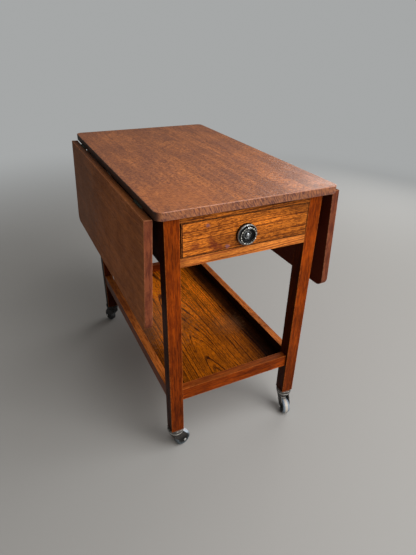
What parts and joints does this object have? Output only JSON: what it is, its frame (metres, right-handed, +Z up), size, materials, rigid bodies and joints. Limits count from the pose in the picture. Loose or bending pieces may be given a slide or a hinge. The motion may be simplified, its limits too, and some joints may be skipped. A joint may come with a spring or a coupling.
{
  "type": "drop leaf tea trolley",
  "caption": "Wheeled oak tea trolley with hanging leaves on folding stays, a drawer with a ring pull, a tray shelf and swivel castors.",
  "frame": {"origin": "on the floor under the middle of the top", "axes": "+Z up; the drawer opens towards -Y; +X to the right, across the trolley towards the right leaf"},
  "size_m": [0.4892, 0.7348, 0.7],
  "materials": {
    "top_oak": "satin",
    "leaf_oak": "satin",
    "frame_oak": "satin",
    "drawer_oak": "satin",
    "shelf_oak": "satin",
    "drawer_lining": "satin",
    "pewter": "worn",
    "hinge_metal": "tarnished",
    "stay_metal": "satin",
    "castor_race": "satin",
    "castor_fork": "gloss",
    "castor_hub": "satin",
    "castor_tyre": "matte"
  },
  "bodies": {
    "carcase": {"castor_front_left_mount": "castor_race", "castor_front_right_mount": "castor_race", "castor_rear_left_mount": "castor_race", "castor_rear_right_mount": "castor_race", "drawer_bottom_rail": "drawer_oak", "drawer_stops": "frame_oak", "drawer_top_rail": "drawer_oak", "left_drawer_kicker": "frame_oak", "left_drawer_runner": "frame_oak", "left_hinge_pins": "hinge_metal", "left_hinge_top_flaps": "hinge_metal", "left_shelf_side_rail": "frame_oak", "left_side_apron": "frame_oak", "left_stay_bracket": "stay_metal", "leg_front_left": "frame_oak", "leg_front_right": "frame_oak", "leg_rear_left": "frame_oak", "leg_rear_right": "frame_oak", "rear_apron": "frame_oak", "right_drawer_kicker": "frame_oak", "right_drawer_runner": "frame_oak", "right_hinge_pins": "hinge_metal", "right_hinge_top_flaps": "hinge_metal", "right_shelf_side_rail": "frame_oak", "right_side_apron": "frame_oak", "right_stay_bracket": "stay_metal", "shelf_board": "shelf_oak", "shelf_front_rail": "frame_oak", "shelf_rear_rail": "frame_oak", "top_board": "top_oak"},
    "drawer": {"drawer_front": "drawer_oak", "drawer_back": "drawer_lining", "drawer_bottom": "drawer_lining", "drawer_left_side": "drawer_lining", "drawer_right_side": "drawer_lining", "pull_backplate": "pewter", "pull_bolt": "pewter"},
    "pull_ring": {"pull_ring": "pewter"},
    "left_leaf": {"left_leaf": "leaf_oak", "left_hinge_leaf_flaps": "hinge_metal", "left_stay_leaf_bracket": "stay_metal"},
    "left_stay_arm": {"left_stay_arm": "stay_metal"},
    "left_stay_link": {"left_stay_link": "stay_metal"},
    "right_leaf": {"right_leaf": "leaf_oak", "right_hinge_leaf_flaps": "hinge_metal", "right_stay_leaf_bracket": "stay_metal"},
    "right_stay_arm": {"right_stay_arm": "stay_metal"},
    "right_stay_link": {"right_stay_link": "stay_metal"},
    "castor_front_left_fork": {"castor_front_left_fork": "castor_fork"},
    "castor_front_left_wheel": {"castor_front_left_wheel": "castor_hub", "castor_front_left_tyre": "castor_tyre"},
    "castor_front_right_fork": {"castor_front_right_fork": "castor_fork"},
    "castor_front_right_wheel": {"castor_front_right_wheel": "castor_hub", "castor_front_right_tyre": "castor_tyre"},
    "castor_rear_left_fork": {"castor_rear_left_fork": "castor_fork"},
    "castor_rear_left_wheel": {"castor_rear_left_wheel": "castor_hub", "castor_rear_left_tyre": "castor_tyre"},
    "castor_rear_right_fork": {"castor_rear_right_fork": "castor_fork"},
    "castor_rear_right_wheel": {"castor_rear_right_wheel": "castor_hub", "castor_rear_right_tyre": "castor_tyre"}
  },
  "joints": [
    {"name": "drawer_slide", "type": "slide", "parent": "carcase", "child": "drawer", "axis": [0, -1, 0], "range_m": [0, 0.29]},
    {"name": "pull_ring_hinge", "type": "hinge", "parent": "drawer", "child": "pull_ring", "pos_m": [-0.004, -0.3526, 0.6308], "axis": [-1, 0, 0], "range_deg": [0, 165]},
    {"name": "left_leaf_hinge", "type": "hinge", "parent": "carcase", "child": "left_leaf", "pos_m": [-0.2129, 0, 0.6816], "axis": [0, 1, 0], "range_deg": [0, 87]},
    {"name": "left_stay_arm_pivot", "type": "hinge", "parent": "carcase", "child": "left_stay_arm", "pos_m": [-0.1995, 0.00405, 0.6216], "axis": [0, 1, 0], "range_deg": [-19.41, 0]},
    {"name": "left_stay_link_pivot", "type": "hinge", "parent": "left_leaf", "child": "left_stay_link", "pos_m": [-0.20755, 0.00685, 0.62124], "axis": [0, 1, 0], "range_deg": [0, 7.68]},
    {"name": "right_leaf_hinge", "type": "hinge", "parent": "carcase", "child": "right_leaf", "pos_m": [0.2129, 0, 0.6816], "axis": [0, -1, 0], "range_deg": [0, 87]},
    {"name": "right_stay_arm_pivot", "type": "hinge", "parent": "carcase", "child": "right_stay_arm", "pos_m": [0.1995, 0.00405, 0.6216], "axis": [0, -1, 0], "range_deg": [-19.41, 0]},
    {"name": "right_stay_link_pivot", "type": "hinge", "parent": "right_leaf", "child": "right_stay_link", "pos_m": [0.20755, 0.00685, 0.62124], "axis": [0, -1, 0], "range_deg": [0, 7.68]},
    {"name": "castor_front_left_swivel", "type": "hinge", "parent": "carcase", "child": "castor_front_left_fork", "pos_m": [-0.1735, -0.325, 0.0635], "axis": [0, 0, 1], "continuous": true},
    {"name": "castor_front_left_roll", "type": "hinge", "parent": "castor_front_left_fork", "child": "castor_front_left_wheel", "pos_m": [-0.15427, -0.31949, 0.0225], "axis": [-0.2756, 0.9613, 0], "continuous": true},
    {"name": "castor_front_right_swivel", "type": "hinge", "parent": "carcase", "child": "castor_front_right_fork", "pos_m": [0.1735, -0.325, 0.0635], "axis": [0, 0, 1], "continuous": true},
    {"name": "castor_front_right_roll", "type": "hinge", "parent": "castor_front_right_fork", "child": "castor_front_right_wheel", "pos_m": [0.16866, -0.34441, 0.0225], "axis": [0.9703, -0.2419, 0], "continuous": true},
    {"name": "castor_rear_left_swivel", "type": "hinge", "parent": "carcase", "child": "castor_rear_left_fork", "pos_m": [-0.1735, 0.325, 0.0635], "axis": [0, 0, 1], "continuous": true},
    {"name": "castor_rear_left_roll", "type": "hinge", "parent": "castor_rear_left_fork", "child": "castor_rear_left_wheel", "pos_m": [-0.17968, 0.34402, 0.0225], "axis": [-0.9511, -0.309, 0], "continuous": true},
    {"name": "castor_rear_right_swivel", "type": "hinge", "parent": "carcase", "child": "castor_rear_right_fork", "pos_m": [0.1735, 0.325, 0.0635], "axis": [0, 0, 1], "continuous": true},
    {"name": "castor_rear_right_roll", "type": "hinge", "parent": "castor_rear_right_fork", "child": "castor_rear_right_wheel", "pos_m": [0.16866, 0.34441, 0.0225], "axis": [-0.9703, -0.2419, 0], "continuous": true}
  ],
  "couplings": [
    {"joint": "left_stay_arm_pivot", "follows": "left_leaf_hinge", "ratio": -0.22258},
    {"joint": "left_stay_link_pivot", "follows": "left_leaf_hinge", "ratio": 0.087719},
    {"joint": "right_stay_arm_pivot", "follows": "right_leaf_hinge", "ratio": -0.22258},
    {"joint": "right_stay_link_pivot", "follows": "right_leaf_hinge", "ratio": 0.087719}
  ]
}
